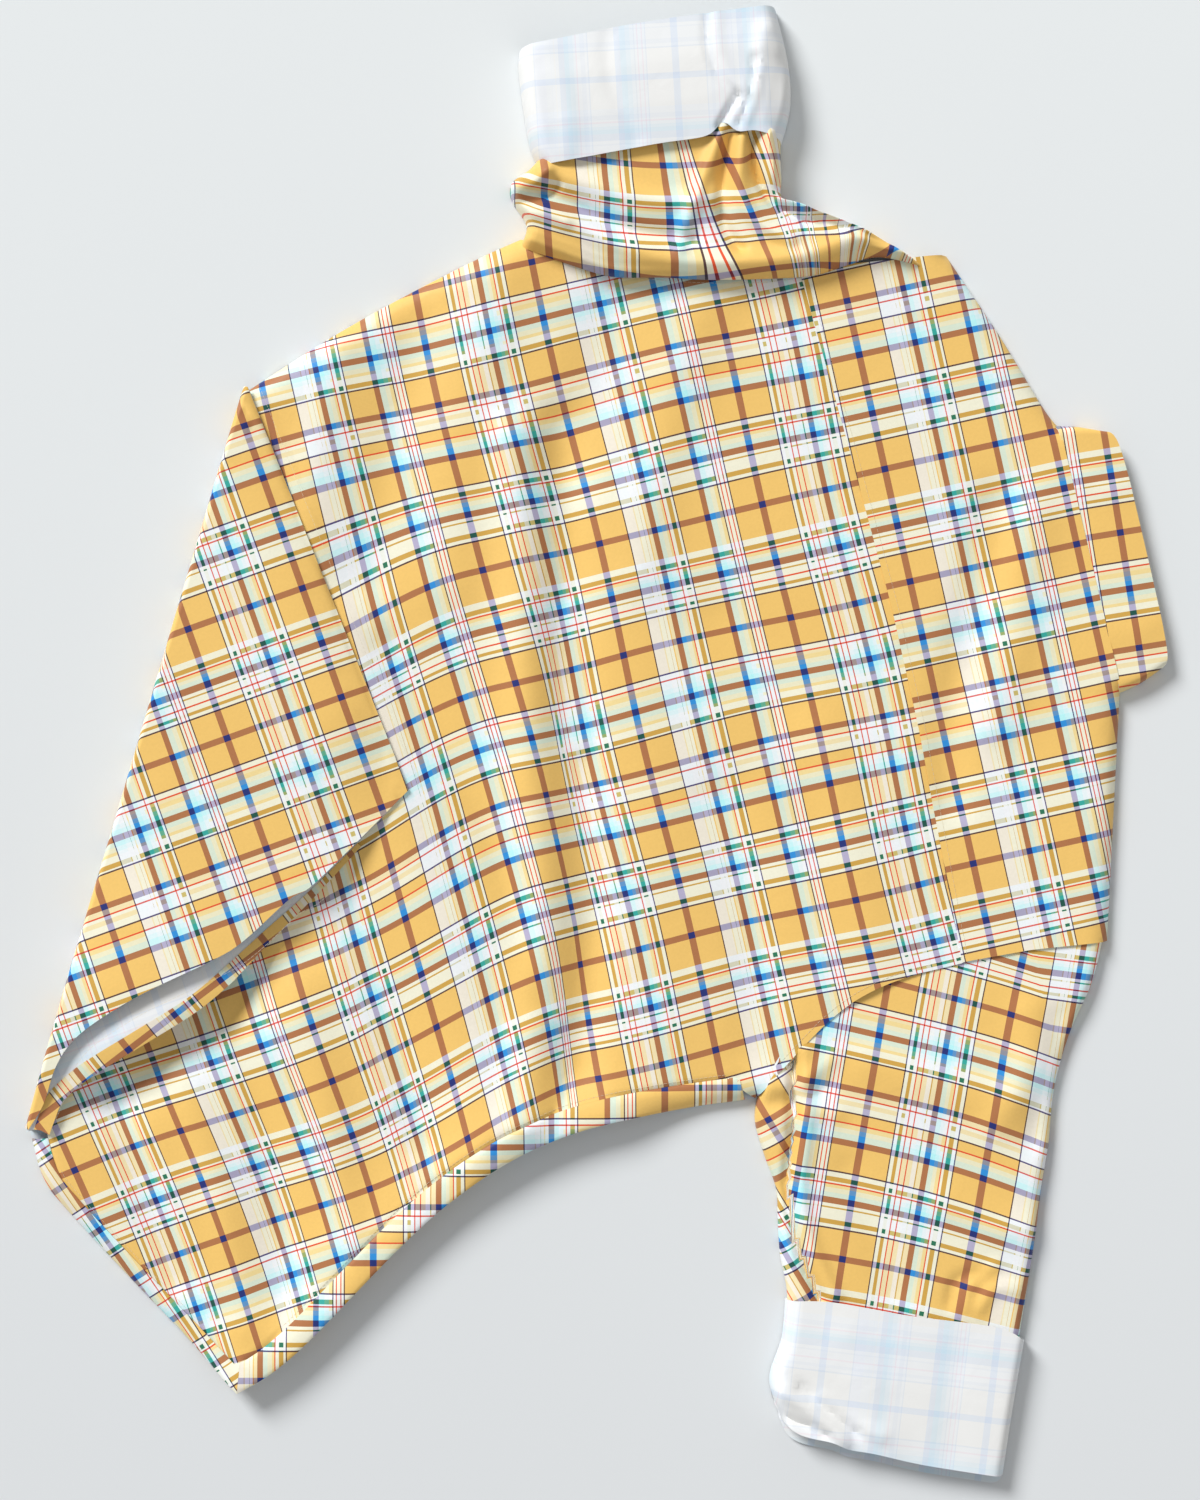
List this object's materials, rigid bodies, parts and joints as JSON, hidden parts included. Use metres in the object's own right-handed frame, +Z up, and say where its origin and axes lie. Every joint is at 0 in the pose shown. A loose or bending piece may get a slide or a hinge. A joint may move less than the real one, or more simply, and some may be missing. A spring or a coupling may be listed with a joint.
{
  "type": "sleeved barber cape",
  "caption": "Sleeved barber cape in printed plaid cloth, laid flat with turned-back cuffs, a stand collar, a yoke and one hem corner folded over the front.",
  "frame": {"origin": "centre of the cape's box on the table it lies on", "axes": "+Z up from the table, +Y the long way of the laid-out cape, towards the wearer's right sleeve; +X roughly towards the collar"},
  "size_m": [0.9118, 1.162, 0.034],
  "materials": {
    "printed_polyester": "satin",
    "polyester_reverse": "matte",
    "stiffener": "matte",
    "snap_plastic": "gloss"
  },
  "bodies": {
    "torso": {"front_yoke": "printed_polyester", "front_panel": "printed_polyester", "front_hem_turning": "polyester_reverse", "back_panel_left": "printed_polyester", "back_panel_right": "printed_polyester", "back_hem_turning": "polyester_reverse", "back_facing_left": "polyester_reverse", "back_facing_right": "polyester_reverse", "left_sleeve_head_front": "printed_polyester", "left_sleeve_head_back": "printed_polyester", "right_sleeve_head_front": "printed_polyester", "right_sleeve_head_back": "printed_polyester", "snap_socket_1": "snap_plastic", "snap_socket_2": "snap_plastic", "snap_socket_3": "snap_plastic", "snap_socket_4": "snap_plastic", "snap_socket_5": "snap_plastic", "snap_stud_1": "snap_plastic", "snap_stud_2": "snap_plastic", "snap_stud_3": "snap_plastic", "snap_stud_4": "snap_plastic", "snap_stud_5": "snap_plastic"},
    "left_sleeve": {"left_sleeve": "printed_polyester", "left_cuff": "polyester_reverse", "left_cuff_turning": "polyester_reverse"},
    "right_sleeve": {"right_sleeve": "printed_polyester", "right_cuff": "polyester_reverse", "right_cuff_turning": "polyester_reverse"},
    "collar": {"collar_outer": "printed_polyester", "collar_stiffener": "stiffener", "collar_inner": "printed_polyester"},
    "hem_corner": {"flap_front": "polyester_reverse", "flap_front_turning": "printed_polyester", "flap_back": "printed_polyester", "flap_back_turning": "polyester_reverse"}
  },
  "joints": [
    {"name": "hem_corner_fold", "type": "hinge", "parent": "torso", "child": "hem_corner", "pos_m": [-0.27977, 0.28096, 0.01555], "axis": [-0.2851, -0.9585, 0], "range_deg": [0, 165]},
    {"name": "left_sleeve_fold", "type": "hinge", "parent": "torso", "child": "left_sleeve", "pos_m": [0.40425, -0.17243, 0.0154], "axis": [-0.9198, -0.3924, 0], "range_deg": [0, 160]},
    {"name": "right_sleeve_fold", "type": "hinge", "parent": "torso", "child": "right_sleeve", "pos_m": [-0.06304, 0.41209, 0.0194], "axis": [1, -0.0027, 0], "range_deg": [0, 130]},
    {"name": "collar_fold", "type": "hinge", "parent": "torso", "child": "collar", "pos_m": [0.39023, 0.14479, 0.0154], "axis": [0.229, -0.9734, 0], "range_deg": [0, 160]}
  ]
}
